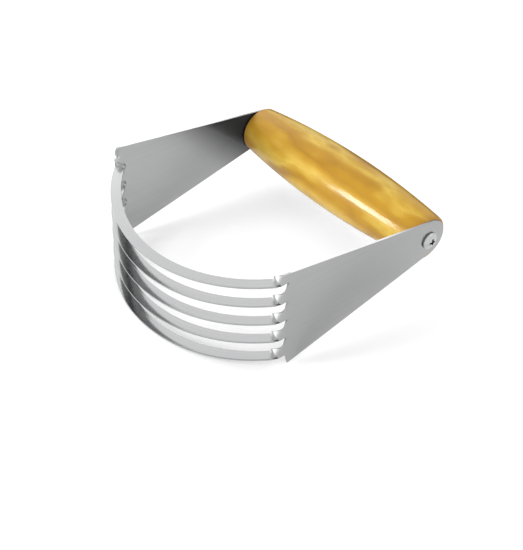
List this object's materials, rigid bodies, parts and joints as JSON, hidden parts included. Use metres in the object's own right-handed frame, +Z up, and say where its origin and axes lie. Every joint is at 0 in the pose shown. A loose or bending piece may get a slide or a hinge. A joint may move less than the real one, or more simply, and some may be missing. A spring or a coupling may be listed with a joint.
{
  "type": "pastry blender",
  "caption": "Hand pastry blender: a U-shaped stainless frame with curved, slotted blades and a turned wooden handle held by a screw through each arm.",
  "frame": {"origin": "middle of the handle, on the line through both screws", "axes": "+X along the handle from left to right, +Y from the blades to the handle, +Z up across the blades, so the tool lies on its side"},
  "size_m": [0.1058, 0.1136, 0.0452],
  "materials": {
    "stainless_sheet": "fine satin, cut and stamped from one sheet",
    "varnished_wood": "clear gloss varnish over honey-coloured turned hardwood",
    "screw_steel": "bright plated"
  },
  "bodies": {
    "frame": {"blade_frame": "stainless_sheet"},
    "grip": {"handle": "varnished_wood", "screw_left": "screw_steel", "screw_right": "screw_steel"}
  },
  "joints": [
    {"name": "handle_turn", "type": "hinge", "parent": "frame", "child": "grip", "pos_m": [0, 0, 0], "axis": [1, 0, 0], "continuous": true}
  ]
}
